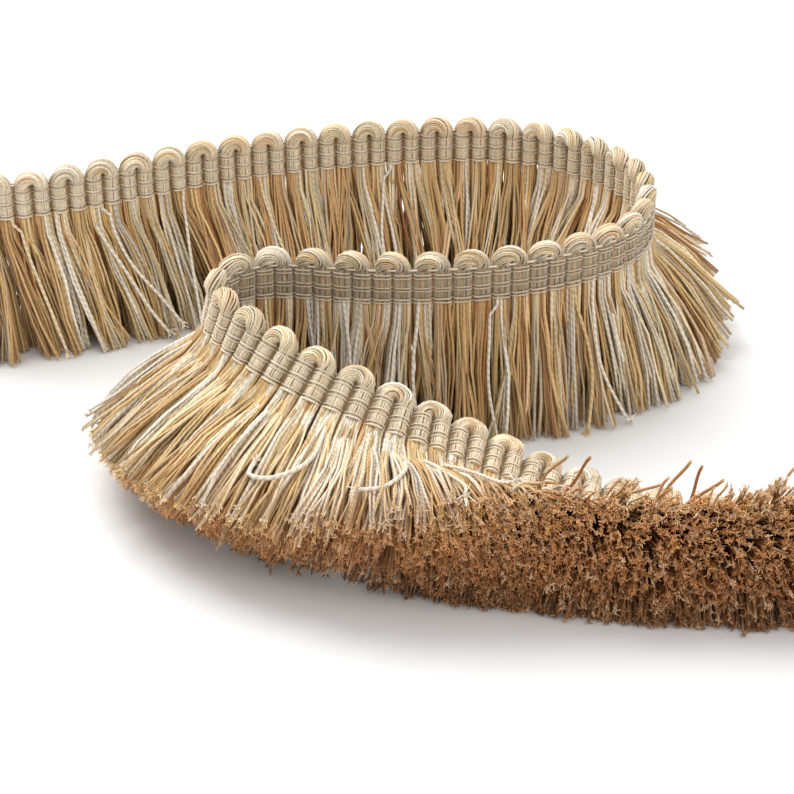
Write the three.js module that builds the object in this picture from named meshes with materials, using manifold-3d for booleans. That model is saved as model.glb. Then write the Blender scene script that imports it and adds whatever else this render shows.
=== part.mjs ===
// Brush fringe trim: a woven heading with a looped upper edge, and a thick brush of cut yarn below it.
// It stands on the cut ends of its yarn in a loose double bend, and its near end leans back until the
// brush lies flat. Millimetres, +Z up, the surface at z = 0. Run it as an ES module with three and
// manifold-3d installed.
import * as THREE from "three";
import { mergeVertices } from "three/addons/utils/BufferGeometryUtils.js";
import Module from "manifold-3d";

const wasm = await Module();
wasm.setup();

// Driving dimensions
const SCALLOPS = 56; // loops along the upper edge
const PITCH = 9.3; // length of one scallop
const WIDTH = 48; // upper edge to cut ends, along the yarn
const HEADING = 12; // upper edge to the last row of binding threads
const LOOP_RISE = 2; // upper edge above the loops' middle line, which the run below follows
const LOOP_DIP = 2.8; // how far the edge drops between two scallops
const LOOP_REVERSE = 1.9; // how far a loop stands out on each side
const LOOP_FACE = 2.4;
const BAND_HALF = 1.3; // half the woven band's thickness
const LEG_RISE = 0.7; // each bound leg of yarn above the band's face
const LOOP_FOOT = 2.4; // where the band starts, below the loops' middle line
const GAP = 0.3; // between neighbouring pieces
const STRIP = 2; // height of the backing strip that holds the roots of the yarn
const STRIP_HALF = 1.4;
const ROOT_HALF = 1.1; // half the thickness of the yarn where it leaves the strip
const LOCK_GAP = 0.5; // between neighbouring locks along the run
const ROW_GAP = 0.04; // between rows of locks, as a share of the brush's thickness
const DROOP = 24; // degrees that a level yarn bends down along its length
const LEVEL = 4; // a cut end that would stop lower than this rests on the surface
// First scallop of each section of the brush. The sections are shorter where the run bends back on itself.
const SECTIONS = [0, 4, 8, 12, 16, 20, 24, 28, 32, 36, 38, 40, 42, 44, 48, 52];
const LEANING_FROM = 37; // first scallop of the leaning run, which has more rows of locks
const START_X = -114.13; // the far end of the loops' middle line
const START_Y = 35.56;

// The run, by scallop number: its direction in plan (degrees from +X), the height of the loops' middle
// line, and how far the heading, the yarn on the reverse and the yarn on the face lean from straight
// down towards the face side, which is on the right of the run.
const COLUMNS = ["at", "way", "height", "heading", "reverse", "face"];
const RUN = [
  [0, 8, 45, 0, -12, 28],
  [3, 24, 45, 0, -12, 30],
  [6, 29, 45, 0, -12, 32],
  [9, 20, 45, 0, -12, 28],
  [12, 11, 45, 0, -12, 26],
  [14, 6, 45, 0, -17, 26],
  [16, -11, 45, 0, -34, 28],
  [18, -39, 45, 0, -56, 34],
  [20, -60, 45, 0, -60, 38],
  [22, -87, 45, 0, -50, 38],
  [24, -108, 45, 0, -38, 34],
  [26, -138, 45, 0, -24, 26],
  [28, -156, 45, 0, -16, 22],
  [30, -169, 45, 0, -13, 20],
  [32, -181, 45, 0, -12, 20],
  [34, -192, 45, 0, -10, 24],
  [35, -171, 45, 2, -6, 32],
  [36, -134, 45, 6, 0, 44],
  [37, -92, 45, 12, 6, 53],
  [38, -57, 44.4, 18, 10, 58],
  [39, -43, 43, 26, 14, 62],
  [40, -31, 40.7, 34, 20, 68],
  [42, -7, 34, 47, 38, 83],
  [44, 5, 25, 60, 54, 102],
  [47, -8, 12.4, 74, 72, 121],
  [50, -6, 5.2, 83, 82, 133],
  [52, 0, 4.2, 84, 84, 138],
  [55, 4, 3.8, 84, 84, 140],
].map((row) => Object.fromEntries(row.map((value, i) => [COLUMNS[i], value])));

const LINE_STEPS = 8; // steps to a scallop along the middle line
const HEADING_STEPS = 4;
const STRIP_STEPS = 2;
const STANDING_STOPS = [0, 0.14, 1]; // where a lock has a section, as shares of its length
const LEANING_STOPS = [0, 0.14, 0.55, 1];
const FAN_OUT = 0.14; // share of its length by which a yarn has taken its own lean
const ROOT = HEADING - LOOP_RISE + GAP + STRIP / 2; // from the middle line down to the locks' roots
const FREE = WIDTH - LOOP_RISE - ROOT; // from the roots to the cut ends

const headingYarn = new THREE.MeshStandardMaterial({ color: 0xd8c8aa, roughness: 0.85, metalness: 0 });
const brushYarn = new THREE.MeshStandardMaterial({ color: 0xc8a878, roughness: 0.9, metalness: 0 });

// One column of the run at any place along it, smoothly between the rows.
function column(name, at) {
  const last = RUN.length - 1;
  const here = Math.min(Math.max(at, 0), RUN[last].at);
  const found = RUN.findIndex((row) => row.at > here);
  const i = found < 0 ? last - 1 : found - 1;
  const slope = (k) => {
    const [a, b] = [RUN[Math.max(k - 1, 0)], RUN[Math.min(k + 1, last)]];
    return (b[name] - a[name]) / (b.at - a.at);
  };
  const span = RUN[i + 1].at - RUN[i].at;
  const t = (here - RUN[i].at) / span;
  return (
    (2 * t ** 3 - 3 * t ** 2 + 1) * RUN[i][name] +
    (t ** 3 - 2 * t ** 2 + t) * span * slope(i) +
    (3 * t ** 2 - 2 * t ** 3) * RUN[i + 1][name] +
    (t ** 3 - t ** 2) * span * slope(i + 1)
  );
}

// The loops' middle line, stepped along the run from half a scallop before the first one's middle.
function middleLine() {
  const points = [new THREE.Vector3(START_X, START_Y, column("height", 0))];
  for (let i = 0; i < SCALLOPS * LINE_STEPS; i++) {
    const from = i / LINE_STEPS - 0.5;
    const to = from + 1 / LINE_STEPS;
    const climb = column("height", to) - column("height", from);
    const way = THREE.MathUtils.degToRad(column("way", (from + to) / 2));
    const plan = Math.sqrt((PITCH / LINE_STEPS) ** 2 - climb ** 2);
    const step = new THREE.Vector3(plan * Math.cos(way), plan * Math.sin(way), climb);
    points.push(points[i].clone().add(step));
  }
  return points;
}

const line = middleLine();

function onLine(at) {
  const place = Math.min(Math.max((at + 0.5) * LINE_STEPS, 0), line.length - 1);
  const i = Math.min(Math.floor(place), line.length - 2);
  return line[i].clone().lerp(line[i + 1], place - i);
}

// The middle line's point and its directions: along the run, level out to the face side, and up across it.
function station(at) {
  const reach = 0.5 / LINE_STEPS;
  const inside = Math.min(Math.max(at, reach - 0.5), SCALLOPS - 0.5 - reach);
  const travel = onLine(inside + reach).sub(onLine(inside - reach)).normalize();
  const face = new THREE.Vector3(travel.y, -travel.x, 0).normalize();
  const rise = face.clone().cross(travel);
  return { point: onLine(at), face, rise };
}

// The direction that leans by so many degrees from straight down towards the face side.
function leaning({ face, rise }, degrees) {
  const lean = THREE.MathUtils.degToRad(degrees);
  return face.clone().multiplyScalar(Math.sin(lean)).addScaledVector(rise, -Math.cos(lean));
}

// A point of the heading, down from the middle line and out towards the face.
function onHeading(at, down, out) {
  const here = station(at);
  const lean = column("heading", at);
  return here.point.addScaledVector(leaning(here, lean), down).addScaledVector(leaning(here, lean + 90), out);
}

// A closed solid through rings of equally many points, with flat ends. A side's triangles are split the
// same way as those of the side across the ring, so two neighbours that curve alike never cross.
function loft(rings) {
  const size = rings[0].length;
  const points = rings.flat();
  const faces = [];
  for (let k = 0; k + 1 < rings.length; k++) {
    for (let i = 0; i < size; i++) {
      const [a, b] = [k * size + i, k * size + ((i + 1) % size)];
      if (i < size / 2) {
        faces.push([a, b, b + size], [a, b + size, a + size]);
      } else {
        faces.push([a, b, a + size], [b, b + size, a + size]);
      }
    }
  }
  const end = (rings.length - 1) * size;
  const cap = THREE.ShapeUtils.triangulateShape(flatten(rings[0]), []);
  for (const [a, b, c] of cap) {
    faces.push([c, b, a], [end + a, end + b, end + c]);
  }
  return solid(points, faces);
}

// A ring's points in its own plane, counter-clockwise, for the triangles of its cap.
function flatten(ring) {
  const across = ring[1].clone().sub(ring[0]).normalize();
  const normal = new THREE.Vector3();
  ring.forEach((p, i) => normal.add(p.clone().cross(ring[(i + 1) % ring.length])));
  const upward = normal.normalize().clone().cross(across);
  return ring.map((p) => new THREE.Vector2(p.dot(across), p.dot(upward)));
}

function solid(points, faces) {
  const positions = new Float32Array(points.flatMap((p) => [p.x, p.y, p.z]));
  const geometry = new THREE.BufferGeometry();
  geometry.setAttribute("position", new THREE.BufferAttribute(positions, 3));
  geometry.setIndex(faces.flat());
  return geometry;
}

// The heading's section at one place: the band, and over it the loop, which is thin between scallops.
function headingRing(at) {
  const phase = at + 0.5 - Math.floor(at + 0.5);
  const swell = Math.sin(Math.PI * phase);
  const top = LOOP_DIP * (1 - swell) - LOOP_RISE;
  const leg = BAND_HALF + (LEG_RISE * (1 - Math.cos(4 * Math.PI * phase))) / 2;
  const fat = 0.6 + 0.4 * swell;
  const foot = HEADING - LOOP_RISE;
  return [
    [foot, -BAND_HALF],
    [LOOP_FOOT, -BAND_HALF],
    [1.3, -LOOP_REVERSE * fat],
    [top + 0.7, -LOOP_REVERSE * 0.7 * fat],
    [top, 0.2],
    [top + 0.8, LOOP_FACE * 0.8 * fat],
    [1.4, LOOP_FACE * fat],
    [LOOP_FOOT, leg],
    [foot, leg],
  ].map(([down, out]) => onHeading(at, down, out));
}

function heading() {
  const rings = [];
  for (let i = 0; i <= SCALLOPS * HEADING_STEPS; i++) {
    rings.push(headingRing(i / HEADING_STEPS - 0.5));
  }
  return loft(rings);
}

// The strip below the heading, from one scallop number to another.
function strip(from, to) {
  const top = HEADING - LOOP_RISE + GAP;
  const steps = Math.round((to - from) * STRIP_STEPS);
  const rings = [];
  for (let i = 0; i <= steps; i++) {
    const at = from + ((to - from) * i) / steps;
    const corner = (down, out) => onHeading(at, down, out);
    rings.push([
      corner(top + STRIP, -STRIP_HALF),
      corner(top, -STRIP_HALF),
      corner(top, STRIP_HALF),
      corner(top + STRIP, STRIP_HALF),
    ]);
  }
  return loft(rings);
}

// A yarn of the brush, as points at its stops. Across runs from 0 on the reverse to 1 on the face.
function yarn(at, across, stops) {
  const here = station(at);
  const own = column("reverse", at) * (1 - across) + column("face", at) * across;
  const point = onHeading(at, ROOT, ROOT_HALF * (2 * across - 1));
  const points = [point.clone()];
  for (let i = 1; i < stops.length; i++) {
    const middle = (stops[i - 1] + stops[i]) / 2;
    const drooping = own + DROOP * Math.sin(THREE.MathUtils.degToRad(own)) * (0.5 - middle);
    const taken = Math.min(middle / FAN_OUT, 1);
    const lean = column("heading", at) * (1 - taken) + drooping * taken;
    point.addScaledVector(leaning(here, lean), FREE * (stops[i] - stops[i - 1]));
    points.push(point.clone());
  }
  return points;
}

// The cut end rests on the surface where it comes near it, and no yarn goes below the surface.
function rest(points) {
  const tip = points[points.length - 1];
  const over = Math.max(tip.z - LEVEL, 0);
  tip.z = tip.z < LEVEL ? 0 : tip.z - LEVEL * Math.exp(-over / LEVEL);
  points.forEach((p) => p.setZ(Math.max(p.z, 0)));
  return points;
}

// A four-sided lock of yarn between two places along the run and two across the brush.
function lock(from, to, inner, outer, stops) {
  const corners = [
    [from, inner],
    [to, inner],
    [to, outer],
    [from, outer],
  ].map(([at, across]) => rest(yarn(at, across, stops)));
  return loft(stops.map((_, k) => corners.map((points) => points[k])));
}

function toManifold(geometry) {
  const merged = mergeVertices(geometry);
  const vertProperties = new Float32Array(merged.attributes.position.array);
  const triVerts = new Uint32Array(merged.index.array);
  return new wasm.Manifold(new wasm.Mesh({ numProp: 3, vertProperties, triVerts }));
}

function fromManifold(manifold) {
  const { vertProperties, triVerts } = manifold.getMesh();
  const geometry = new THREE.BufferGeometry();
  geometry.setAttribute("position", new THREE.BufferAttribute(vertProperties, 3));
  geometry.setIndex(new THREE.BufferAttribute(triVerts, 1));
  return geometry;
}

// One section of the brush: its strip, and two locks to a scallop in each row, fused to it at the roots.
function fringe(first, next) {
  const ends = GAP / 2 / PITCH;
  let whole = toManifold(strip(first - 0.5 + ends, next - 0.5 - ends));
  const half = 0.25 - LOCK_GAP / 2 / PITCH;
  for (let scallop = first; scallop < next; scallop++) {
    const rows = scallop < LEANING_FROM ? 2 : 4;
    const stops = scallop < LEANING_FROM ? STANDING_STOPS : LEANING_STOPS;
    for (const middle of [scallop - 0.25, scallop + 0.25]) {
      for (let row = 0; row < rows; row++) {
        const inner = row / rows + (row > 0 ? ROW_GAP / 2 : 0);
        const outer = (row + 1) / rows - (row + 1 < rows ? ROW_GAP / 2 : 0);
        whole = whole.add(toManifold(lock(middle - half, middle + half, inner, outer, stops)));
      }
    }
  }
  return fromManifold(whole);
}

function named(name, geometry, material) {
  const mesh = new THREE.Mesh(geometry, material);
  mesh.name = name;
  return mesh;
}

const trim = new THREE.Group();
trim.add(named("heading", heading(), headingYarn));
SECTIONS.forEach((first, i) => {
  const number = String(i + 1).padStart(2, "0");
  const next = SECTIONS[i + 1] ?? SCALLOPS;
  trim.add(named(`fringe_${number}`, fringe(first, next), brushYarn));
});

export default trim;
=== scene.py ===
"""Brush fringe trim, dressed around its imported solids.

The heading is built from its yarns: each scallop is one bundle of strands that comes up one leg, arches over
and goes down the next, and rows of fine binding threads run along both sides of it. The brush is built yarn
by yarn. The run and the leans are those of the solids. Lengths are in millimetres until a mesh is made.
"""

import math

import bpy
import numpy as np
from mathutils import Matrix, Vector


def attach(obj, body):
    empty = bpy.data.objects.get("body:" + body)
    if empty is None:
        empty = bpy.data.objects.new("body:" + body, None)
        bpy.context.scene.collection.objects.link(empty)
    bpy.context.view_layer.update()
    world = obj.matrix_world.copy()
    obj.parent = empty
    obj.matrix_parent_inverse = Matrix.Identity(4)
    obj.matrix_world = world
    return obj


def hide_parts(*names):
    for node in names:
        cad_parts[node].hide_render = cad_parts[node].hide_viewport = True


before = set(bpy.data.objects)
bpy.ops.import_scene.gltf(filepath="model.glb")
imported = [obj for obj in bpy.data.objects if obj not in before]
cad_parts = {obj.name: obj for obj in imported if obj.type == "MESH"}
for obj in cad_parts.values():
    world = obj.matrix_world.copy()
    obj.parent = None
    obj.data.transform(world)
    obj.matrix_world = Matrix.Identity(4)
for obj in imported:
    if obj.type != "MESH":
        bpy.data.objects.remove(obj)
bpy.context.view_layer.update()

MM = 0.001

# The trim, as in the solids
SCALLOPS = 56
PITCH = 9.3
WIDTH = 48
HEADING = 12
LOOP_RISE = 2
ROOT_HALF = 1.1
DROOP = 24
START_X = -114.13
START_Y = 35.56
LINE_STEPS = 8
ROOT = HEADING - LOOP_RISE + 1.3
FREE = WIDTH - LOOP_RISE - ROOT

# The run, by scallop number: direction in plan, height of the loops' middle line, and how far the heading,
# the yarn on the reverse and the yarn on the face lean from straight down towards the face, in degrees.
COLUMNS = ["at", "way", "height", "heading", "reverse", "face"]
RUN = [
    [0, 8, 45, 0, -12, 28],
    [3, 24, 45, 0, -12, 30],
    [6, 29, 45, 0, -12, 32],
    [9, 20, 45, 0, -12, 28],
    [12, 11, 45, 0, -12, 26],
    [14, 6, 45, 0, -17, 26],
    [16, -11, 45, 0, -34, 28],
    [18, -39, 45, 0, -56, 34],
    [20, -60, 45, 0, -60, 38],
    [22, -87, 45, 0, -50, 38],
    [24, -108, 45, 0, -38, 34],
    [26, -138, 45, 0, -24, 26],
    [28, -156, 45, 0, -16, 22],
    [30, -169, 45, 0, -13, 20],
    [32, -181, 45, 0, -12, 20],
    [34, -192, 45, 0, -10, 24],
    [35, -171, 45, 2, -6, 32],
    [36, -134, 45, 6, 0, 44],
    [37, -92, 45, 12, 6, 53],
    [38, -57, 44.4, 18, 10, 58],
    [39, -43, 43, 26, 14, 62],
    [40, -31, 40.7, 34, 20, 68],
    [42, -7, 34, 47, 38, 83],
    [44, 5, 25, 60, 54, 102],
    [47, -8, 12.4, 74, 72, 121],
    [50, -6, 5.2, 83, 82, 133],
    [52, 0, 4.2, 84, 84, 138],
    [55, 4, 3.8, 84, 84, 140],
]
STOPS = {name: np.array([row[i] for row in RUN], float) for i, name in enumerate(COLUMNS)}

# Yarns
YARN_RADIUS = 0.36
STRANDS = 18  # in the bundle of one scallop
THREAD_RADIUS = 0.24

# Yarn colours, as sRGB. Brown, russet and amber are also used as painted shade on the near run's cut ends,
# and russet and brown on the inner yarns.
SHADES = {
    "white": (0.99, 0.95, 0.88),
    "cream": (0.97, 0.89, 0.74),
    "gold": (0.92, 0.79, 0.56),
    "ochre": (0.85, 0.69, 0.46),
    "peach": (0.96, 0.82, 0.66),
    "taupe": (0.89, 0.79, 0.64),
    "tan": (0.84, 0.67, 0.46),
    "amber": (0.90, 0.69, 0.45),
    "russet": (0.74, 0.50, 0.29),
    "brown": (0.38, 0.25, 0.15),
    "speck": (0.90, 0.75, 0.60),
}


def linear(colour):
    """An sRGB colour as linear light."""
    c = np.asarray(colour, float)
    return np.where(c <= 0.04045, c / 12.92, ((c + 0.055) / 1.055) ** 2.4)


SHADE_NAMES = list(SHADES)
PALETTE = np.array([linear(SHADES[name]) for name in SHADE_NAMES])


def shade_of(name):
    return PALETTE[SHADE_NAMES.index(name)]


def unit(v):
    return v / np.linalg.norm(v, axis=-1, keepdims=True)


def blend(a, b, share):
    """From a at share 0 to b at share 1."""
    return a * (1 - share) + b * share


# The run


def column(name, at):
    """One column of the run at any places along it, smoothly between the rows."""
    rows, values = STOPS["at"], STOPS[name]
    last = len(rows) - 1
    here = np.clip(at, 0, rows[last])
    k = np.arange(len(rows))
    before, after = np.maximum(k - 1, 0), np.minimum(k + 1, last)
    slope = (values[after] - values[before]) / (rows[after] - rows[before])
    i = np.clip(np.searchsorted(rows, here, side="right") - 1, 0, last - 1)
    span = rows[i + 1] - rows[i]
    t = (here - rows[i]) / span
    return (
        (2 * t**3 - 3 * t**2 + 1) * values[i]
        + (t**3 - 2 * t**2 + t) * span * slope[i]
        + (3 * t**2 - 2 * t**3) * values[i + 1]
        + (t**3 - t**2) * span * slope[i + 1]
    )


def middle_line():
    """The loops' middle line, stepped along the run from half a scallop before the first one's middle."""
    start = np.arange(SCALLOPS * LINE_STEPS) / LINE_STEPS - 0.5
    end = start + 1 / LINE_STEPS
    climb = column("height", end) - column("height", start)
    way = np.radians(column("way", (start + end) / 2))
    plan = np.sqrt((PITCH / LINE_STEPS) ** 2 - climb**2)
    steps = np.stack([plan * np.cos(way), plan * np.sin(way), climb], -1)
    first = np.array([[START_X, START_Y, column("height", 0.0)]])
    return np.concatenate([first, first + np.cumsum(steps, 0)])


LINE = middle_line()


def on_line(at):
    place = np.clip((at + 0.5) * LINE_STEPS, 0, len(LINE) - 1)
    i = np.minimum(place.astype(int), len(LINE) - 2)
    return blend(LINE[i], LINE[i + 1], (place - i)[..., None])


def station(at):
    """The middle line's points, and its directions: along the run, level to the face side, up across it."""
    reach = 0.5 / LINE_STEPS
    inside = np.clip(at, reach - 0.5, SCALLOPS - 0.5 - reach)
    travel = unit(on_line(inside + reach) - on_line(inside - reach))
    face = unit(np.stack([travel[..., 1], -travel[..., 0], np.zeros_like(at)], -1))
    return on_line(at), travel, face, np.cross(face, travel)


def leaning(face, rise, degrees):
    lean = np.radians(degrees)[..., None]
    return face * np.sin(lean) - rise * np.cos(lean)


def on_heading(at, down, out):
    """Points of the heading, down from the middle line and out towards the face."""
    at, down, out = np.broadcast_arrays(np.asarray(at, float), down, out)
    point, _, face, rise = station(at)
    lean = column("heading", at)
    return (
        point
        + leaning(face, rise, lean) * down[..., None]
        + leaning(face, rise, lean + 90) * out[..., None]
    )


# Meshes of many tubes


class Strands:
    """Tubes that are gathered into one mesh, with a colour and a place along and around them."""

    def __init__(self):
        self.points, self.faces, self.colours, self.plies, self.count = [], [], [], [], 0

    def add(self, paths, radius, colour, sides=3, turn=None, ends=True, twist=0.5):
        """Tubes along paths (n, k, 3), with radius (n, k) and colour (n, k, 3) or what spreads to them."""
        n, k = paths.shape[:2]
        strength = np.broadcast_to(np.asarray(twist, float).reshape(-1, 1, 1, 1), (n, k, sides, 1))
        radius = np.broadcast_to(radius, (n, k))
        colour = np.broadcast_to(colour, (n, k, 3))
        turn = np.zeros(n) if turn is None else turn
        ahead = np.concatenate([paths[:, 1:], paths[:, -1:]], 1)
        behind = np.concatenate([paths[:, :1], paths[:, :-1]], 1)
        tangent = unit(ahead - behind)
        aside = np.empty_like(paths)
        least = np.eye(3)[np.abs(tangent[:, 0]).argmin(1)]
        aside[:, 0] = unit(np.cross(tangent[:, 0], least))
        for i in range(1, k):
            last, way = aside[:, i - 1], tangent[:, i]
            aside[:, i] = unit(last - way * (last * way).sum(-1, keepdims=True))
        other = np.cross(tangent, aside)
        angle = 2 * np.pi * np.arange(sides) / sides + turn[:, None]
        cos, sin = np.cos(angle)[:, None, :, None], np.sin(angle)[:, None, :, None]
        ring = aside[:, :, None] * cos + other[:, :, None] * sin
        points = paths[:, :, None] + ring * radius[:, :, None, None]
        steps = np.linalg.norm(np.diff(paths, axis=1), axis=-1)
        along = np.concatenate([np.zeros((n, 1)), np.cumsum(steps, 1)], 1)
        plies = np.empty((n, k, sides, 3))
        plies[..., 0] = np.cos(angle)[:, None]
        plies[..., 1] = np.sin(angle)[:, None]
        plies[..., 2] = (along + 5 * turn[:, None])[:, :, None]
        base = self.count + np.arange(n)[:, None, None] * k * sides
        a = np.arange(k - 1)[None, :, None] * sides + np.arange(sides)[None, None, :]
        b = np.arange(k - 1)[None, :, None] * sides + (np.arange(sides)[None, None, :] + 1) % sides
        quads = np.stack([base + a, base + b, base + b + sides, base + a + sides], -1)
        self.faces.append(quads.reshape(-1, 4))
        if ends:
            first = base[:, 0, 0][:, None] + np.arange(sides)[::-1][None]
            last = base[:, 0, 0][:, None] + (k - 1) * sides + np.arange(sides)[None]
            self.faces.append(first if sides == 4 else fan(first))
            self.faces.append(last if sides == 4 else fan(last))
        self.points.append(points.reshape(-1, 3))
        rgb = np.broadcast_to(colour[:, :, None], (n, k, sides, 3))
        self.colours.append(np.concatenate([rgb, strength], -1).reshape(-1, 4))
        self.plies.append(plies.reshape(-1, 3))
        self.count += n * k * sides

    def piece(self, name, material, slot, *nodes):
        return make_piece(
            name,
            np.concatenate(self.points),
            self.faces,
            material,
            nodes,
            np.concatenate(self.colours),
            np.concatenate(self.plies),
        )


def fan(rings):
    """Triangles that close polygons of any number of sides."""
    sides = rings.shape[1]
    return np.concatenate([rings[:, [0, i, i + 1]] for i in range(1, sides - 1)])


def make_piece(name, points, faces, material, nodes, colours, plies):
    """A mesh object from arrays, riding on the root body and standing for the named nodes."""
    mesh = bpy.data.meshes.new(name)
    sizes = np.concatenate([np.full(len(f), f.shape[1]) for f in faces])
    corners = np.concatenate([f.ravel() for f in faces])
    mesh.vertices.add(len(points))
    mesh.vertices.foreach_set("co", (points * MM).astype(np.float32).ravel())
    mesh.loops.add(len(corners))
    mesh.loops.foreach_set("vertex_index", corners.astype(np.int32))
    mesh.polygons.add(len(sizes))
    mesh.polygons.foreach_set("loop_start", np.concatenate([[0], np.cumsum(sizes)[:-1]]).astype(np.int32))
    mesh.update(calc_edges=True)
    mesh.polygons.foreach_set("use_smooth", (sizes == 4))
    shade = mesh.attributes.new("shade", "FLOAT_COLOR", "POINT")
    shade.data.foreach_set("color", colours.astype(np.float32).ravel())
    ply = mesh.attributes.new("ply", "FLOAT_VECTOR", "POINT")
    ply.data.foreach_set("vector", plies.astype(np.float32).ravel())
    mesh.materials.append(material)
    mesh.validate()
    piece = bpy.data.objects.new(name, mesh)
    bpy.context.scene.collection.objects.link(piece)
    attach(piece, "root")
    if nodes:
        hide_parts(*nodes)
    return piece


# Materials

SHEEN = {"Sheen Weight": 0.12, "Sheen Roughness": 0.5, "Sheen Tint": (1, 0.95, 0.86, 1)}
FIBRE_NOISE = (5200, 3)  # scale and detail of the single fibres' grain
PATCH_NOISE = (300, 2)  # and of the slow change in colour from place to place
GROOVE_PAINTED_SHADE = 0.4  # painted shade: how much darker the groove between two plies is painted
FIBRE_RELIEF = 0.5  # height of the fibres' grain as a share of the plies'


def yarn_material(name, pitch, depth, shine, rough):
    """Twisted yarn: its colour from the mesh, which carries painted shade and painted highlights, slanting
    plies with painted shade in their grooves, loose fibres and a soft sheen. The plies make one turn in pitch
    millimetres and stand out by depth."""
    material = bpy.data.materials.new(name)
    material.use_nodes = True
    nodes, links = material.node_tree.nodes, material.node_tree.links
    shader = nodes["Principled BSDF"]
    shader.inputs["Roughness"].default_value = rough
    shader.inputs["Specular IOR Level"].default_value = shine
    for socket, value in SHEEN.items():
        shader.inputs[socket].default_value = value

    def maths(operation, a, b=None, c=None):
        node = nodes.new("ShaderNodeMath")
        node.operation = operation
        for socket, value in zip(node.inputs, (a, b, c)):
            if isinstance(value, (int, float)):
                socket.default_value = value
            elif value is not None:
                links.new(value, socket)
        return node.outputs[0]

    shade = nodes.new("ShaderNodeAttribute")
    shade.attribute_name = "shade"
    ply = nodes.new("ShaderNodeAttribute")
    ply.attribute_name = "ply"
    parts = nodes.new("ShaderNodeSeparateXYZ")
    links.new(ply.outputs["Vector"], parts.inputs[0])
    cos_around, sin_around, along = parts.outputs
    phase = maths("MULTIPLY", along, 2 * math.pi / pitch)
    stripe = maths(
        "ADD",
        maths("MULTIPLY", maths("SINE", phase), cos_around),
        maths("MULTIPLY", maths("COSINE", phase), sin_around),
    )
    ridge = maths("MULTIPLY_ADD", stripe, 0.5, 0.5)

    where = nodes.new("ShaderNodeTexCoord")

    def noise(scale, detail):
        node = nodes.new("ShaderNodeTexNoise")
        node.inputs["Scale"].default_value = scale
        node.inputs["Detail"].default_value = detail
        links.new(where.outputs["Object"], node.inputs["Vector"])
        return node.outputs["Fac"]

    fibres, patches = noise(*FIBRE_NOISE), noise(*PATCH_NOISE)
    # Painted shade: the base colour is darkened in the grooves between the plies, as far as the twist shows.
    dip = maths("MULTIPLY", maths("SUBTRACT", 1.0, ridge), shade.outputs["Alpha"])
    painted_groove_shade = maths("MULTIPLY_ADD", dip, -GROOVE_PAINTED_SHADE, 1.0)
    speck = maths("MULTIPLY_ADD", fibres, 0.4, 0.8)
    patch = maths("MULTIPLY_ADD", patches, 0.24, 0.9)
    value = maths("MULTIPLY", maths("MULTIPLY", painted_groove_shade, speck), patch)
    grey = nodes.new("ShaderNodeCombineColor")
    for socket in grey.inputs:
        links.new(value, socket)
    painted = nodes.new("ShaderNodeMix")
    painted.data_type = "RGBA"
    painted.blend_type = "MULTIPLY"
    factor, own, over, result = painted.inputs[0], painted.inputs[6], painted.inputs[7], painted.outputs[2]
    factor.default_value = 1.0
    links.new(shade.outputs["Color"], own)
    links.new(grey.outputs[0], over)
    links.new(result, shader.inputs["Base Color"])

    bump = nodes.new("ShaderNodeBump")
    bump.inputs["Strength"].default_value = 0.8
    bump.inputs["Distance"].default_value = depth * MM
    twist = maths("MULTIPLY", ridge, shade.outputs["Alpha"])
    links.new(maths("MULTIPLY_ADD", fibres, FIBRE_RELIEF, twist), bump.inputs["Height"])
    links.new(bump.outputs[0], shader.inputs["Normal"])
    return material


def floor_material():
    material = bpy.data.materials.new("pale_floor")
    material.use_nodes = True
    shader = material.node_tree.nodes["Principled BSDF"]
    shader.inputs["Base Color"].default_value = (0.86, 0.865, 0.87, 1)
    shader.inputs["Roughness"].default_value = 0.7
    shader.inputs["Specular IOR Level"].default_value = 0.2
    return material


BRUSH = yarn_material("cut_yarn", 1.7, 0.12, 0.45, 0.42)
LOOPS = yarn_material("loop_yarn", 1.2, 0.1, 0.45, 0.45)
THREAD = yarn_material("binding_thread", 0.6, 0.05, 0.45, 0.45)
FRAYED = yarn_material("frayed_ends", 1.7, 0.04, 0.1, 0.85)
CORE = yarn_material("ground_weave", 0.6, 0.06, 0.1, 0.85)


def shades(rng, count, weights):
    """Colours drawn from the named shades by weight, each a little lighter or darker."""
    names, share = list(weights), np.array(list(weights.values()), float)
    index = np.array([SHADE_NAMES.index(name) for name in names])
    drawn = index[rng.choice(len(names), count, p=share / share.sum())]
    return PALETTE[drawn] * rng.normal(1, 0.13, (count, 1)).clip(0.7, 1.25)


# The heading

LEG = PITCH / 4  # from the middle of a scallop to the middle of a leg
ARCH_REACH = 2.4  # half the breadth of an arch, on the bundle's centre
ARCH_DOWN = 2.3  # where the arches spring, below the middle line
ARCH_RISE = 2.5  # how far they rise from there
LEG_FOOT = 10.2  # how far down the legs reach
FACE_ROWS = [3.2, 6.3, 9.5]  # how far down the binding threads run, on the face and on the reverse
REVERSE_ROWS = [3.4, 6.6, 9.6]
PAIR = 0.45  # from a row's middle to each of its two threads
PINCH_REACH = 0.8  # how far along a leg a row draws it in
ARCH_TURN = 2.3  # how far the bundle is twisted over the arch, in radians
HOOK = 0.8  # how far the arch hangs over towards the face where it comes down
HOOK_AT = 0.85  # where on the arch that is, from 0 to 1
HOOK_REACH = 0.22  # over how much of the arch
HOOK_FADE = 1.1  # and how soon it fades down the leg, in millimetres

# Half the breadth and half the thickness of a scallop's bundle, on a leg's reverse, its face and the arch,
# and how much a row of threads takes off them on the leg
REVERSE_HALF, REVERSE_THICK = 1.95, 1.35
FACE_HALF, FACE_THICK = 1.42, 1.72
ARCH_HALF, ARCH_THICK = 1.62, 1.85
REVERSE_PINCH = 0.12, 0.1
FACE_PINCH = 0.32, 0.5
REVERSE_SQUARE, FACE_SQUARE = 0.5, 0.85  # the section's roundness: 1 is an ellipse, and less is squarer
BUNDLE_OUT = 0.25  # the bundle's centre lies this far towards the face
STRAND_RADIUS = 0.38
ARCH_STRAND_RADIUS = 0.36

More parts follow.
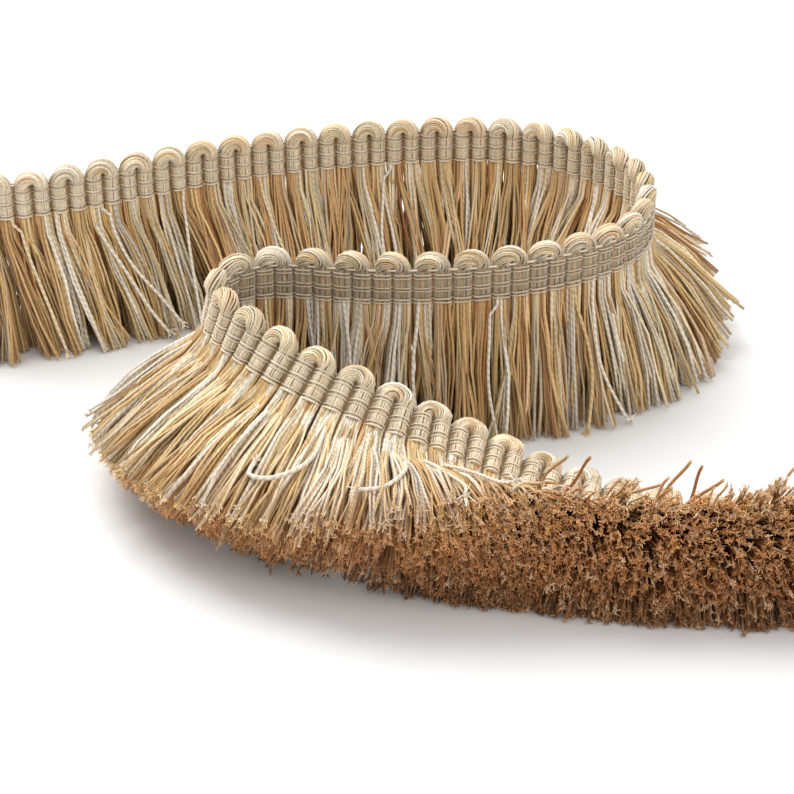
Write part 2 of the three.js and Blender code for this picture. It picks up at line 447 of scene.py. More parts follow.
BOUND_SHADE = linear((0.97, 0.90, 0.79))  # what the strands' colours come near on the bound legs
BOUND_SHARE = 0.8
PINCH_PAINTED_SHADE = 0.16  # painted shade: how much darker a leg is painted where a row of threads draws it in
REVERSE_PAINTED_SHADE = 0.42  # painted shade: how much darker a leg is painted on its reverse


def pinch(down):
    """How far the binding threads draw a leg in, from 0 to 1."""
    return sum(np.exp(-(((down - row) / PINCH_REACH) ** 2)) for row in FACE_ROWS)


def hooked(over, depth):
    """How far the arch hangs over towards the face."""
    on_arch = np.exp(-(((over - HOOK_AT) / HOOK_REACH) ** 2))
    return HOOK * on_arch * np.exp(-((np.maximum(depth - ARCH_DOWN, 0) / HOOK_FADE) ** 2))


def scallop_centreline(leg_steps=10, arch_steps=8):
    """The bundle's centre up one leg, over and down the other: along, down, the way outward, and how far it
    has come over the arch, from 0 to 1."""
    down = np.linspace(LEG_FOOT, ARCH_DOWN, leg_steps)
    angle = np.linspace(np.pi, 0, arch_steps + 2)[1:-1]
    leg = LEG + (ARCH_REACH - LEG) * np.clip(1 - (down - ARCH_DOWN) / 2, 0, 1)
    along = np.concatenate([-leg, ARCH_REACH * np.cos(angle), leg[::-1]])
    depth = np.concatenate([down, ARCH_DOWN - ARCH_RISE * np.sin(angle), down[::-1]])
    outward_along = np.concatenate([np.full(leg_steps, -1), np.cos(angle), np.full(leg_steps, 1)])
    outward_up = np.concatenate([np.zeros(leg_steps), np.sin(angle), np.zeros(leg_steps)])
    over = np.concatenate([np.zeros(leg_steps), 1 - angle / np.pi, np.ones(leg_steps)])
    return along, depth, outward_along, outward_up, over


def scallop_weights(number):
    """The yarns of one scallop's bundle: paler and warmer from place to place."""
    kinds = [
        {"white": 4, "cream": 4, "taupe": 2, "gold": 1},
        {"cream": 4, "gold": 3, "white": 2, "taupe": 1},
        {"cream": 4, "peach": 3, "white": 2, "taupe": 2},
        {"cream": 5, "taupe": 3, "gold": 1, "white": 2},
    ]
    return kinds[(number * 7 + number // 3) % len(kinds)]


def bundle_section(angle, arch, tight, hook):
    """How far strands at these angles around the bundle lie aside and out from its centre, and how much each
    is on the face: 1 there and 0 on the reverse."""
    cos, sin = np.cos(angle), np.sin(angle)
    front = 0.5 + 0.5 * np.tanh(3 * sin)
    less_half, less_thick = (blend(*pair, front) * tight for pair in zip(REVERSE_PINCH, FACE_PINCH))
    leg_half = blend(REVERSE_HALF, FACE_HALF, front) - less_half
    leg_thick = blend(REVERSE_THICK, FACE_THICK, front) - less_thick
    square = blend(blend(REVERSE_SQUARE, FACE_SQUARE, front), 1, arch)
    half = blend(leg_half, ARCH_HALF + 0.1 * hook, arch)
    thick = blend(leg_thick, ARCH_THICK, arch)
    return half * np.sign(cos) * np.abs(cos) ** square, thick * np.sign(sin) * np.abs(sin) ** square, front


def loops(rng):
    """The strands of every scallop's bundle."""
    strands = Strands()
    along, depth, outward_along, outward_up, over = scallop_centreline()
    arch = np.sin(np.pi * over)
    tight = pinch(depth) * (1 - arch)
    hook = hooked(over, depth)
    radius = blend(STRAND_RADIUS, ARCH_STRAND_RADIUS, arch)
    bound = (BOUND_SHARE * (1 - arch))[None, :, None]
    for number in range(SCALLOPS):
        angle = 2 * np.pi * (np.arange(STRANDS) + rng.uniform(-0.15, 0.15, STRANDS)) / STRANDS
        angle = angle[:, None] + rng.normal(ARCH_TURN, 0.25) * (over - 0.5)
        aside, outward, front = bundle_section(angle, arch, tight, hook)
        size = 1 + rng.normal(0, 0.03, (STRANDS, 1))
        aside = aside * size
        out = BUNDLE_OUT + hook * front + outward * size
        x = along + outward_along * aside + rng.normal(0, 0.05, (STRANDS, 1))
        down = depth - outward_up * aside
        paths = on_heading(number + x / PITCH, down, out)
        colour = shades(rng, STRANDS, scallop_weights(number))
        # Painted shade: legs are darker where the threads draw them in and on their reverse, but not over the
        # arch.
        leg_painted_shade = (1 - PINCH_PAINTED_SHADE * tight) * (1 - REVERSE_PAINTED_SHADE * (1 - front) * (1 - arch))
        colour = blend(colour[:, None], BOUND_SHADE, bound) * leg_painted_shade[..., None]
        strands.add(paths, radius[None], colour, turn=rng.uniform(0, 2, STRANDS), twist=0.4)
    return strands.piece("loops", LOOPS, "heading_yarn")


def crest(at):
    """1 in the middle of each leg and -1 between two legs."""
    return -np.cos(4 * np.pi * at)


THREAD_STEPS = 14  # stops of a thread on one scallop
# The threads on the reverse are painted darker than those on the face and under the arches, as painted shade.
REVERSE_THREAD_PAINTED_SHADE = linear((0.90, 0.83, 0.73))
BRIGHT_THREAD = linear((0.99, 0.93, 0.84))
WAVER = 0.25
WAVER_STOPS = 25  # over which a thread's waver is evened out

# How far out the threads lie between two legs, and how much further over the middle of a leg
REVERSE_BETWEEN, REVERSE_OVER = 0.2, -1.78
FACE_BETWEEN, FACE_OVER = -0.5, 2.48

# The thread under the arches: how far down and out it lies, how much each sways from leg to leg,
# and its radius
EDGE_DOWN, EDGE_OUT = 1.9, -1.0
EDGE_DOWN_SWAY, EDGE_OUT_SWAY = 0.1, 0.4
EDGE_RADIUS = 0.3


def threads(rng):
    """The binding threads: pairs along the reverse, dipping between the legs, and around each leg's face."""
    strands = Strands()
    at = np.linspace(-0.5, SCALLOPS - 0.5, SCALLOPS * THREAD_STEPS + 1)
    aside = (at * 2 % 1 - 0.5) * PITCH / 2
    on_face = np.sqrt(np.maximum(1 - np.abs(aside / (LEG * 0.9)) ** 2.4, 0.001))
    on_reverse = np.sqrt(np.maximum(1 - (aside / (LEG * 1.03)) ** 6, 0.02))
    lift = crest(at)

    def run(down, out, radius, colour):
        jitter = rng.normal(0, WAVER, len(at) + WAVER_STOPS - 1)
        waver = np.convolve(jitter, np.ones(WAVER_STOPS) / WAVER_STOPS, "valid")
        paths = on_heading(at, down + waver, out)[None]
        strands.add(paths, radius, colour[None, None], turn=rng.uniform(0, 1.5, 1))

    # The reverse pairs take the darker thread colour, which is painted shade.
    for row in REVERSE_ROWS:
        for side in (-1, 1):
            run(row + side * PAIR, REVERSE_BETWEEN + REVERSE_OVER * on_reverse, THREAD_RADIUS, REVERSE_THREAD_PAINTED_SHADE)
    run(EDGE_DOWN + EDGE_DOWN_SWAY * lift, EDGE_OUT + EDGE_OUT_SWAY * lift, EDGE_RADIUS, BRIGHT_THREAD)
    for row in FACE_ROWS:
        for side in (-1, 1):
            run(row + side * PAIR, FACE_BETWEEN + FACE_OVER * on_face, THREAD_RADIUS, BRIGHT_THREAD)
    return strands.piece("binding_threads", THREAD, "heading_yarn")


GROUND_STEPS = 4  # sections of the woven ground to a scallop
GROUND_TOP = 2.0
GROUND_BACK, GROUND_FRONT = -0.6, 0.2
GROUND_SHADE = linear((0.62, 0.52, 0.40))


def woven_ground():
    """The woven ground of the heading, a thin band inside the legs."""
    at = np.linspace(-0.5, SCALLOPS - 0.5, SCALLOPS * GROUND_STEPS + 1)
    section = [
        (LEG_FOOT, GROUND_BACK),
        (GROUND_TOP, GROUND_BACK),
        (GROUND_TOP, GROUND_FRONT),
        (LEG_FOOT, GROUND_FRONT),
    ]
    rings = np.stack([on_heading(at, down, out) for down, out in section], 1)
    n, m = rings.shape[:2]
    k = np.arange(n - 1)[:, None] * m
    i, j = np.arange(m)[None], (np.arange(m)[None] + 1) % m
    quads = np.stack([k + i, k + j, k + j + m, k + i + m], -1).reshape(-1, 4)
    ends = np.array([np.arange(m)[::-1], (n - 1) * m + np.arange(m)])
    strands = Strands()
    strands.points.append(rings.reshape(-1, 3))
    strands.faces += [quads[:, ::-1], fan(ends[:, ::-1])]
    strands.colours.append(np.broadcast_to([*GROUND_SHADE, 0.2], (n * m, 4)))
    strands.plies.append(np.stack([np.ones(n * m), np.zeros(n * m), np.repeat(at, m) * PITCH], -1))
    return strands.piece("heading_ground", CORE, "heading_yarn", "heading")


ARCH_FILL = [-0.1, 0.7]  # how far out each inner yarn of an arch lies
ARCH_FILL_RADIUS = 0.85
ARCH_FILL_SHADE = linear((0.74, 0.63, 0.48))
LEG_FILL = [(-1.25, -0.3, 0.9), (0, -0.3, 0.95), (1.25, -0.3, 0.9), (0, 0.5, 1.25)]  # aside, out and radius
LEG_FILL_SHADE = linear((0.80, 0.70, 0.56))


def filling():
    """The inner yarns of each leg and loop, which show between the outer ones."""
    strands = Strands()
    angle = np.linspace(np.pi, 0, 9)
    centre = np.arange(SCALLOPS)[:, None]
    for out in ARCH_FILL:
        x = centre + ARCH_REACH * np.cos(angle)[None] / PITCH
        paths = on_heading(x, (ARCH_DOWN - ARCH_RISE * np.sin(angle))[None], out)
        strands.add(paths, ARCH_FILL_RADIUS, ARCH_FILL_SHADE, sides=6, twist=0.2)
    leg_down = np.linspace(LEG_FOOT - 0.1, ARCH_DOWN, 3)
    for side in (-LEG, LEG):
        for aside, out, radius in LEG_FILL:
            places = centre + (side + aside) / PITCH + 0 * leg_down[None]
            paths = on_heading(places, leg_down[None], out)
            strands.add(paths, radius, LEG_FILL_SHADE, sides=6, twist=0.2)
    return strands.piece("heading_filling", CORE, "heading_yarn")


# The brush

LEVEL = 4  # an end that would stop lower than this rests on the surface

# By scallop number, in degrees: how the yarns swing along the run, and how much more the yarns on the face
# stand out than those of the solids
SWING = {"at": [0, 2, 5, 8, 12, 16, 30, 36, 40, 46, 55], "by": [8, 12, 9, 6, 3, 0, 2, 0, 0, 0, 0]}
RAISE = {"at": [0, 6, 10, 34, 36, 39, 42, 44, 46, 48, 50, 55], "by": [-6, -5, 0, 0, 3, 0, 1, 4, 10, 9, 6, 3]}

ROOT_TUCK = 1.6  # how far the yarns reach up into the heading
TUCK_SPREAD = 1.1  # the brush's thickness there as a share of the roots', and where it leaves the heading
ROOT_SPREAD = 1.35
GATHER = 0.34  # how much nearer together the outer yarns of one leg stand at their roots
GATHERED_TO = 0.4  # the share of the brush's length by which they are no longer gathered
SPREAD_BY = 0.18  # and by which the yarns have left the heading's own lean

# The inner yarns take darker yarn colours, as painted shade for the inside of the brush, and each leg's outer
# yarns are mostly of one family
INNER_PAINTED_SHADE = {"tan": 4, "ochre": 3, "gold": 2, "russet": 1}
NEAR_INNER_PAINTED_SHADE = {"tan": 3, "russet": 3, "ochre": 2, "brown": 1}
FAMILIES = [
    {"gold": 5, "ochre": 3, "cream": 2},
    {"cream": 4, "white": 3, "gold": 2},
    {"taupe": 4, "cream": 2, "tan": 2},
    {"peach": 4, "cream": 2, "gold": 2},
]
FAMILY_SHARES = [0.4, 0.26, 0.16, 0.18]
BRIGHT = {"white": 5, "cream": 2, "gold": 2}
NEAR_OUTER = {"tan": 4, "amber": 3, "peach": 2, "russet": 1}
OUTER_PAINTED_SHADE_SHARE = 0.28  # the share of the standing runs' outer clumps that have the inner shades, as painted shade
NEAR_OUTER_SHARE = 0.6  # of the outer clumps where the near run lies flat
BRIGHT_SHARE, FAMILY_SHARE = 0.3, 0.55  # of the other clumps: bright ones, and those of the leg's family
FLECK_SHARE = 0.1  # of cut ends that stay pale, left out of the painted shade

# Scallop numbers: where the brush starts to lean and where the painted brown shade on its cut ends starts,
# over how many each is done, where the standing runs end and where the near run lies flat
LEANS_FROM, LEANS_OVER = 37, 8
ENDS_PAINTED_SHADE_FROM, ENDS_PAINTED_SHADE_OVER = 35, 5
STANDING_TO, FLAT_FROM = 36, 46

# How much the yarns differ, clump from clump and yarn from yarn: degrees, but for the length's share
VARY = {"swing": (5, 2.2), "tilt": (2, 1.1), "curl": (4, 1.8), "length": (0.012, 0.014)}
LEG_SWING, LEG_TILT = 3.2, 1.5  # the same, leg from leg
LEG_REACH = 0.43  # of a scallop, over which one leg's yarns are rooted
WAVE_TURNS = 1.3  # of a yarn's slight wave, along its length
LOW_CUT = 0.17  # how much shorter the lowest yarns of the near run are

TIP = 0.4  # the height at which a cut end rests
SETTLE = 0.9  # how far an end that is just above LEVEL comes down, as a share of it
FIRM = 4  # how sharply yarns stop at their least height
CLEAR = YARN_RADIUS * 1.5  # the least height of a yarn's centre
CUT_FLARE, FRAYED_TIP = 1.2, 0.8  # radius of a cut end as a share of its yarn's, without and with fibres

FRAY = 1.25  # length of the fibres at a cut end
FRAY_SPREAD = 0.7
FRAY_RADII = [0.14, 0.07]
FRAY_SHADE_AND_HIGHLIGHT = [0.62, 1.5]  # how light a fibre is painted: painted shade at its foot and a painted highlight at its tip
FRAY_TUCK, FRAY_SCATTER = 0.25, 0.22  # how far inside the yarn its foot is, and how far aside
PALE_FIBRES, PALE_BY = 0.22, 0.6  # the share of fibres that are paler, and by how much


def smooth(x):
    x = np.clip(x, 0, 1)
    return x * x * (3 - 2 * x)


def brush_paths(at, across, tilt, swing, curl, length, stops):
    """Yarns from their roots to their cut ends. tilt leans them towards the face, swing along the run."""
    _, travel, face, rise = station(at)
    own = blend(column("reverse", at), column("face", at), across)
    heading = column("heading", at)
    from_middle = 2 * across - 1
    points = [on_heading(at, ROOT - ROOT_TUCK, ROOT_HALF * TUCK_SPREAD * from_middle)]
    point = on_heading(at, ROOT, ROOT_HALF * ROOT_SPREAD * from_middle)
    points.append(point)
    for start, end in zip(stops[:-1], stops[1:]):
        middle = (start + end) / 2
        taken = smooth(middle / SPREAD_BY)
        drooping = own + tilt + DROOP * np.sin(np.radians(own)) * (0.5 - middle)
        lean = blend(heading, drooping, taken)
        sideways = np.radians(swing * taken + curl * math.sin(math.pi * 2 * middle))[:, None]
        way = leaning(face, rise, lean) * np.cos(sideways) + travel * np.sin(sideways)
        point = point + way * (FREE * (end - start) * length)[:, None]
        points.append(point)
    share = np.broadcast_to([0, *stops], (len(at), len(stops) + 1))
    from_leg = ((at * 2) % 1 - 0.5)[:, None, None] * PITCH / 2
    gathered = GATHER * from_middle[:, None, None] ** 2 * (1 - smooth(share / GATHERED_TO))[..., None]
    return np.stack(points, 1) - travel[:, None] * from_leg * gathered, share


def rest(paths, share):
    """Cut ends that come near the surface stand on it, and nothing goes below it."""
    tip = paths[:, -1, 2]
    lifted = tip - LEVEL * SETTLE * np.exp(-(np.maximum(tip, LEVEL) - LEVEL) / LEVEL)
    wanted = np.where(tip < LEVEL, np.minimum(tip, TIP), lifted)
    paths[:, :, 2] += (wanted - tip)[:, None] * share**2
    paths[:, :, 2] = CLEAR + np.logaddexp(0, (paths[:, :, 2] - CLEAR) * FIRM) / FIRM
    return paths


def nearness(number):
    """0 in the standing runs and 1 in the near run, where the cut ends face the viewer."""
    return np.clip((number - LEANS_FROM) / LEANS_OVER, 0, 1)


def near_end(number):
    """The same for the painted brown shade on the cut ends, which comes in sooner."""
    return np.clip((number - ENDS_PAINTED_SHADE_FROM) / ENDS_PAINTED_SHADE_OVER, 0, 1)


def clump_shades(rng, number, depth, family):
    """The shades of one clump, by its depth: 1 for the outermost yarns and 0 for the inner ones."""
    # Inner clumps, and some outer ones of the standing runs, take the darker inner shades as painted shade.
    if depth < 0.5:
        return NEAR_INNER_PAINTED_SHADE if rng.uniform() < nearness(number) else INNER_PAINTED_SHADE
    if number < STANDING_TO and rng.uniform() < OUTER_PAINTED_SHADE_SHARE:
        return INNER_PAINTED_SHADE
    if number > FLAT_FROM and rng.uniform() < NEAR_OUTER_SHARE:
        return NEAR_OUTER
    chance = rng.uniform()
    if chance < BRIGHT_SHARE:
        return BRIGHT
    return family if chance < BRIGHT_SHARE + FAMILY_SHARE else FAMILIES[rng.integers(len(FAMILIES))]


def cut_end_painted_shade(rng, number, across, colour, share):
    """Colours along yarns with painted shade on their cut ends: brown, darker towards the surface, but for
    pale flecks.
    """
    # Painted shade on the cut face: brown at the bottom, russet in the middle and amber at the top.
    lowest, middle, highest, pale = (shade_of(name) for name in ("brown", "russet", "amber", "speck"))
    low = np.clip(across * 2, 0, 1)[:, None]
    high = np.clip(across * 2 - 1, 0, 1)[:, None]
    end = blend(lowest, blend(middle, highest, high), low)
    draw = rng.uniform(size=(len(across), 1))
    end = np.where(draw < FLECK_SHARE, pale, end * (0.68 + 0.58 * draw))
    amount = np.where(across > 0.85, nearness(number) * 0.62, near_end(number) * 0.95)
    taken = (smooth((share - 0.45) / 0.45) * amount[:, None])[..., None]
    return blend(colour[:, None], end[:, None], taken)


def varied(rng, kind, each, clumps=1):
    """How much each yarn of one clump differs in one way, where clumps scales what the clump shares."""
    clump, yarn = VARY[kind]
    return rng.normal(0, clump * clumps) + rng.normal(0, yarn, each)


def one_clump(rng, number, leg, place, grid, each, leg_way, family, stops):
    """Yarns that leave one part of a leg together and stay near each other."""
    i, j = place
    near = nearness(number)
    depth = float(j in (0, grid[1] - 1) or (near > 0 and j == grid[1] - 2))
    spread_at, spread_across = 0.28 / grid[0], 0.6 / grid[1]
    middle = number + leg + LEG_REACH * ((i + 0.5) / grid[0] - 0.5)
    at = middle + rng.uniform(-spread_at, spread_at, each)
    across = ((j + 0.5) / grid[1] + rng.uniform(-spread_across, spread_across, each)).clip(0, 1)
    loose = 1 - 0.6 * near
    swing = np.interp(number, SWING["at"], SWING["by"]) + leg_way[0] + varied(rng, "swing", each, loose)
    tilt = leg_way[1] + varied(rng, "tilt", each)
    tilt = tilt + np.interp(number, RAISE["at"], RAISE["by"]) * across**2 * rng.uniform(0.4, 1.3, each)
    curl = varied(rng, "curl", each, loose)
    length = 1 + varied(rng, "length", each) - LOW_CUT * near_end(number) * (1 - across) ** 2
    paths, share = brush_paths(at, across, tilt, swing, curl, length, stops)
    pull = rng.uniform(0.1, 0.55) * loose**2 * share[..., None] ** 0.8
    paths = blend(paths, paths.mean(0, keepdims=True), pull)
    phase = rng.uniform(0, 2 * np.pi, (each, 1, 3))
    wave = np.sin(2 * np.pi * WAVE_TURNS * share[..., None] + phase) - np.sin(phase)
    paths = rest(paths + wave * (0.4 + 0.15 * loose) * share[..., None], share)
    names = clump_shades(rng, number, depth, family)
    twist = 0.8 if names is BRIGHT else 0.45
    return paths, cut_end_painted_shade(rng, number, across, shades(rng, each, names), share), twist


def brush(rng, first, last, per_leg, grid, outer, inner, frayed):
    """The yarns of the scallops from first up to last, in clumps that each lean and swing a little. The outer
    ones have more stops along them than the inner ones. Ends that get fibres are frayed and drawn in."""
    yarns, ends = Strands(), []
    tip = FRAYED_TIP if frayed else CUT_FLARE
    places = [(i, j) for j in range(grid[1]) for i in range(grid[0])]
    each = per_leg // len(places)
    for number in range(first, last):
        for leg in (-0.25, 0.25):
            loose = 1 - 0.75 * nearness(number)
            leg_way = rng.normal(0, LEG_SWING) * loose, rng.normal(0, LEG_TILT) * loose
            family = FAMILIES[rng.choice(len(FAMILIES), p=FAMILY_SHARES)]
            for place in places:
                shown = place[1] in (0, grid[1] - 1)
                stops = outer if shown else inner
                paths, colour, twist = one_clump(
                    rng, number, leg, place, grid, each, leg_way, family, stops
                )
                thick = YARN_RADIUS * (1.2 if twist > 0.7 else 1) * rng.normal(1, 0.08, (each, 1))
                radius = thick * np.where(np.arange(paths.shape[1]) == paths.shape[1] - 1, tip, 1)
                yarns.add(paths, radius, colour, turn=rng.uniform(0, 2, each), twist=twist)
                way = unit(paths[:, -1] - paths[:, -2])
                ends.append((paths[:, -1], way, colour[:, -1]))
    return yarns, [np.concatenate(part) for part in zip(*ends)]


def frays(rng, ends, each, long=FRAY):
    """Fine fibres that splay from the cut ends of yarns."""
    place, way, colour = (np.repeat(part, each, 0) for part in ends)
    n = len(place)
    splayed = unit(way + rng.normal(0, FRAY_SPREAD, (n, 3)))
    start = place - way * FRAY_TUCK + rng.normal(0, FRAY_SCATTER, (n, 3))
    end = start + splayed * rng.uniform(0.5, 1, (n, 1)) * long
    paths = np.stack([start, end], 1)
    paths[..., 2] = np.maximum(paths[..., 2], 0.25)
    radius = np.array([FRAY_RADII]) * rng.uniform(0.75, 1.2, (n, 1))
    tone = rng.normal(1, 0.12, (n, 1)).clip(0.7, 1.3)
    paler = (rng.uniform(size=(n, 1)) < PALE_FIBRES) * PALE_BY
    colour = blend(colour, shade_of("speck"), paler)
    # Painted shade at each fibre's foot and a painted highlight at its tip.
    painted = (colour * tone)[:, None] * np.array(FRAY_SHADE_AND_HIGHLIGHT)[:, None]
    fibres = Strands()
    fibres.add(paths, radius, painted, turn=rng.uniform(0, 2, n), ends=False, twist=0.1)
    return fibres


# Ends that stand up out of the top of the near run: where, how far they lean back, lean aside and curl, in
# degrees, their length and thickness as shares of the others', and their shade
UPRIGHT_COLUMNS = ["at", "tilt", "swing", "curl", "length", "thick", "shade"]
UPRIGHT = [
    [45.9, 14, 6, 10, 0.9, 0.9, "tan"],
    [47.0, 24, -2, -8, 0.9, 1.0, "tan"],
    [47.35, 25, 2, 6, 0.9, 1.0, "russet"],
    [48.6, 15, 12, -10, 0.95, 0.9, "tan"],
    [49.0, 17, 8, 12, 0.92, 0.9, "speck"],
    [49.7, 22, 3, -8, 0.93, 1.0, "tan"],
    [50.05, 19, 2, 8, 0.93, 1.0, "russet"],
    [50.3, 13, 8, -12, 0.95, 1.0, "tan"],
    [51.3, 11, 16, -12, 1.0, 0.9, "white"],
    [51.6, 14, 12, 12, 1.0, 1.0, "speck"],
]

# Loose yarns that lie over the brush: side, shade, thickness, and the places that they pass through. Each is
# a scallop number, a share of the brush's length, which is below 0 inside the heading, and a height above the
# outer yarns.
FACE, REVERSE = 1.0, 0.0
OVER = [
    [
        FACE,
        "white",
        1.4,
        [(41.8, 0.1, 0.4), (41.75, 0.5, 1.3), (41.4, 0.7, 1.5), (41.05, 0.72, 1.5), (41, 0.6, 1)],
    ],
    [FACE, "white", 1.3, [(43.3, 0.35, 0.6), (43.2, 0.55, 1.5), (42.9, 0.74, 1.6), (42.55, 0.76, 1.2)]],
    [FACE, "white", 1.1, [(44.4, 0.1, 0.5), (44.6, 0.5, 1.2), (44.9, 0.85, 1.8), (45.1, 1.0, 3.5)]],
    [FACE, "white", 1.0, [(43.8, 0.2, 0.6), (43.9, 0.55, 1.4), (44.1, 0.8, 1.6), (44.0, 0.98, 2)]],
    [FACE, "white", 1.2, [(3.9, -0.1, 0), (4.3, 0.4, 1.4), (5.0, 0.75, 1.8), (5.4, 0.95, 1.6)]],
    [FACE, "white", 1.2, [(3.6, 0.1, 0.5), (4.1, 0.45, 1.5), (4.6, 0.8, 1.6), (5.0, 1.0, 1.4)]],
    [FACE, "white", 1.1, [(6.4, -0.1, 0), (6.1, 0.5, 1.2), (6.0, 1.0, 1.2)]],
    [FACE, "cream", 1.1, [(8.6, -0.1, 0), (9.0, 0.5, 1.3), (9.6, 0.95, 1.2)]],
    [FACE, "cream", 1.2, [(1.4, -0.1, 0), (1.9, 0.5, 1.2), (2.3, 1.0, 1.2)]],
    [FACE, "white", 1.1, [(12.6, -0.1, 0), (12.2, 0.5, 1.2), (12.4, 0.95, 1.2)]],
    [REVERSE, "white", 1.2, [(33.2, -0.1, 0), (33.0, 0.4, 0.8), (33.2, 0.9, 0.8)]],
    [REVERSE, "white", 1.2, [(31.4, -0.1, 0), (31.5, 0.5, 0.9), (31.3, 1.0, 0.8)]],
    [REVERSE, "white", 1.1, [(29.4, -0.1, 0), (29.7, 0.5, 0.9), (29.5, 1.0, 0.8)]],
    [REVERSE, "gold", 1.2, [(27.3, -0.1, 0), (27.1, 0.5, 0.9), (27.4, 1.02, 1.0)]],
    [REVERSE, "white", 1.1, [(26.6, -0.1, 0), (26.9, 0.5, 1.0), (26.4, 1.05, 1.0)]],
]

OVER_STOPS, UPRIGHT_STOPS = 22, 12  # stops along each kind of loose yarn
SURFACE_STEPS = 10  # stops of the brush's outer yarns, over which they lie
LOOSE_FIBRES, LOOSE_FIBRE_LENGTH = 14, 2.6  # at the end of each yarn that lies over the brush


def surface(at, share, side, lift):
    """Places above the outer yarns of one side of the brush."""
    stops = np.linspace(0, 1, SURFACE_STEPS + 1)
    n = len(at)
    still, whole = np.zeros(n), np.ones(n)
    raised = np.interp(at, RAISE["at"], RAISE["by"]) * side
    paths, _ = brush_paths(at, np.full(n, side), raised, still, still, whole, stops)
    place = np.maximum(np.minimum(share, 1) * SURFACE_STEPS + 1, 0)
    k = np.minimum(place.astype(int), SURFACE_STEPS)
    row = np.arange(n)
    point = blend(paths[row, k], paths[row, k + 1], (place - k)[:, None])
    _, travel, _, _ = station(at)
    along = unit(paths[row, k + 1] - paths[row, np.maximum(k - 1, 0)])
    outward = unit(np.cross(travel, along)) * (1 if side else -1)
    return point - outward * lift[:, None]


def rounded(places, steps):
    """Places along a smooth line through a few."""
    places = np.array(places, float)
    last = len(places) - 1
    t = np.linspace(0, last, steps)
    i = np.minimum(t.astype(int), last - 1)
    u = (t - i)[:, None]
    slope = np.gradient(places, axis=0)
    return (
        (2 * u**3 - 3 * u**2 + 1) * places[i]
        + (u**3 - 2 * u**2 + u) * slope[i]
        + (3 * u**2 - 2 * u**3) * places[i + 1]
        + (u**3 - u**2) * slope[i + 1]
    )


def strays(rng):
    """Loose yarns, over the brush and standing up from the near run, and the fibres at their ends."""
    yarns, ends = Strands(), []
    for side, shade, thick, through in OVER:
        at, share, lift = rounded(through, OVER_STOPS).T
        path = rest(surface(at, share, side, lift)[None], np.zeros((1, OVER_STOPS)))
        colour = shade_of(shade)
        yarns.add(path, YARN_RADIUS * thick, colour, sides=6, turn=rng.uniform(0, 1.5, 1), twist=0.8)
        ends.append((path[:, -1], unit(path[:, -1] - path[:, -2]), colour[None]))
    table = {name: [row[i] for row in UPRIGHT] for i, name in enumerate(UPRIGHT_COLUMNS)}
    at, tilt, swing, curl, length = (np.array(table[name], float) for name in UPRIGHT_COLUMNS[:5])
    stops = np.linspace(0, 1, UPRIGHT_STOPS)
    paths, share = brush_paths(at, np.ones(len(at)), tilt, swing, curl, length, stops)
    paths = rest(paths, share)
    colour = np.array([shade_of(name) for name in table["shade"]])
    thick = YARN_RADIUS * np.array(table["thick"])[:, None]
    yarns.add(paths, thick, colour[:, None], sides=6, turn=rng.uniform(0, 1.5, len(at)), twist=0.4)
    ends = [np.concatenate(part) for part in zip(*ends)]
    fibres = frays(rng, ends, LOOSE_FIBRES, LOOSE_FIBRE_LENGTH)
    return [
        yarns.piece("loose_yarns", BRUSH, "brush_yarn"),
        fibres.piece("loose_yarn_ends", FRAYED, "brush_yarn"),
    ]


# Where yarns have their stops, as shares of their length: standing and leaning outer ones, and inner ones
STANDING = [0, 0.12, 0.26, 0.48, 0.74, 1]
LEANING = [0, 0.05, 0.11, 0.2, 0.34, 0.54, 0.77, 1]
INSIDE = [0, 0.2, 0.5, 1]

# Pieces of the brush, each with the scallops from first up to last, the yarns of one leg, their clumps along
# and across it, their stops, the first and last fringe solid that it stands for, and the fibres of one end
BRUSH_COLUMNS = ["name", "first", "last", "per_leg", "grid", "outer", "inner", "low", "high", "frays"]
BRUSHES = [
    ["brush_back", 0, 16, 96, (3, 4), STANDING, INSIDE, 1, 4, 0],
    ["brush_bend", 16, 28, 96, (3, 4), STANDING, INSIDE, 5, 7, 0],
    ["brush_middle", 28, 36, 96, (3, 4), STANDING, INSIDE, 8, 9, 0],
    ["brush_left", 36, 44, 168, (4, 7), LEANING, INSIDE, 10, 13, 4],
    ["brush_front", 44, 56, 210, (3, 7), LEANING, INSIDE, 14, 16, 6],
]

SEED = 7


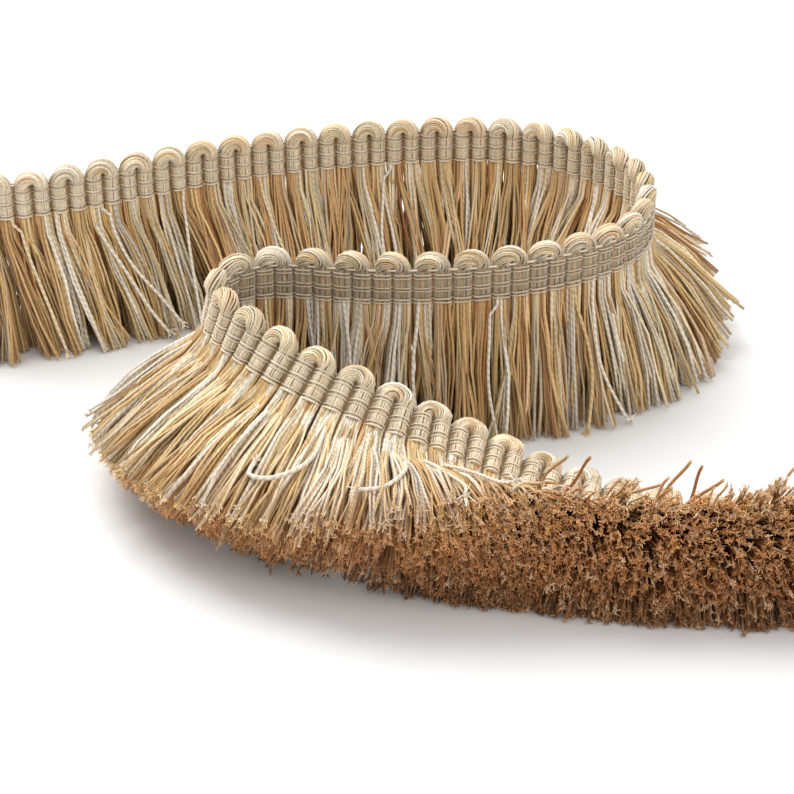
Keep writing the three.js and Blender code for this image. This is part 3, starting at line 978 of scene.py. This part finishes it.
def build():
    rng = np.random.default_rng(SEED)
    pieces = [loops(rng), threads(rng), filling()]
    ground = woven_ground()
    for row in BRUSHES:
        part = dict(zip(BRUSH_COLUMNS, row))
        names = ("first", "last", "per_leg", "grid", "outer", "inner", "frays")
        yarns, ends = brush(rng, *(part[name] for name in names))
        nodes = [f"fringe_{k:02d}" for k in range(part["low"], part["high"] + 1)]
        pieces.append(yarns.piece(part["name"], BRUSH, "brush_yarn", *nodes))
        if part["frays"]:
            fibres = frays(rng, ends, part["frays"])
            pieces.append(fibres.piece(part["name"] + "_ends", FRAYED, "brush_yarn"))
    pieces += strays(rng)


# The setting

CAMERA = (0.00157, -0.43364, 0.234)
TILT = 62  # degrees from looking straight down
SENSOR = 36
PICTURE = 794  # pixels across the photograph, in which the focal length below is also counted
FOCAL = 2000
FLOOR_HALF = 4
SKY = 0.72
LAMPS = {  # where each stands and its size, in metres, and its power
    "key": ((-0.45, 0.55, 1.1), 0.9, 15),
    "fill": ((0.6, -0.7, 0.9), 1.0, 3.5),
}


def add_camera(scene):
    camera = bpy.data.objects.new("camera", bpy.data.cameras.new("camera"))
    camera.location = CAMERA
    camera.rotation_euler = (math.radians(TILT), 0, 0)
    camera.data.lens = FOCAL / PICTURE * SENSOR
    camera.data.sensor_width = SENSOR
    camera.data.clip_start = 0.01
    scene.collection.objects.link(camera)
    scene.camera = camera


def add_floor(scene):
    mesh = bpy.data.meshes.new("floor")
    corners = [(x * FLOOR_HALF, y * FLOOR_HALF, 0) for x, y in ((-1, -1), (1, -1), (1, 1), (-1, 1))]
    mesh.from_pydata(corners, [], [(0, 1, 2, 3)])
    mesh.materials.append(floor_material())
    floor = bpy.data.objects.new("floor", mesh)
    scene.collection.objects.link(floor)


def add_light(scene):
    world = bpy.data.worlds.new("soft_studio")
    scene.world = world
    world.use_nodes = True
    background = world.node_tree.nodes["Background"]
    background.inputs["Color"].default_value = (1, 0.99, 0.975, 1)
    background.inputs["Strength"].default_value = SKY
    for name, (place, size, power) in LAMPS.items():
        light = bpy.data.lights.new(name, "AREA")
        light.size = size
        light.energy = power
        lamp = bpy.data.objects.new(name, light)
        lamp.location = place
        aim = Vector(place) * -1
        lamp.rotation_mode = "QUATERNION"
        lamp.rotation_quaternion = aim.to_track_quat("-Z", "Y")
        scene.collection.objects.link(lamp)


def setting():
    scene = bpy.context.scene
    scene.view_settings.view_transform = "Standard"
    add_camera(scene)
    add_floor(scene)
    add_light(scene)


setting()
build()
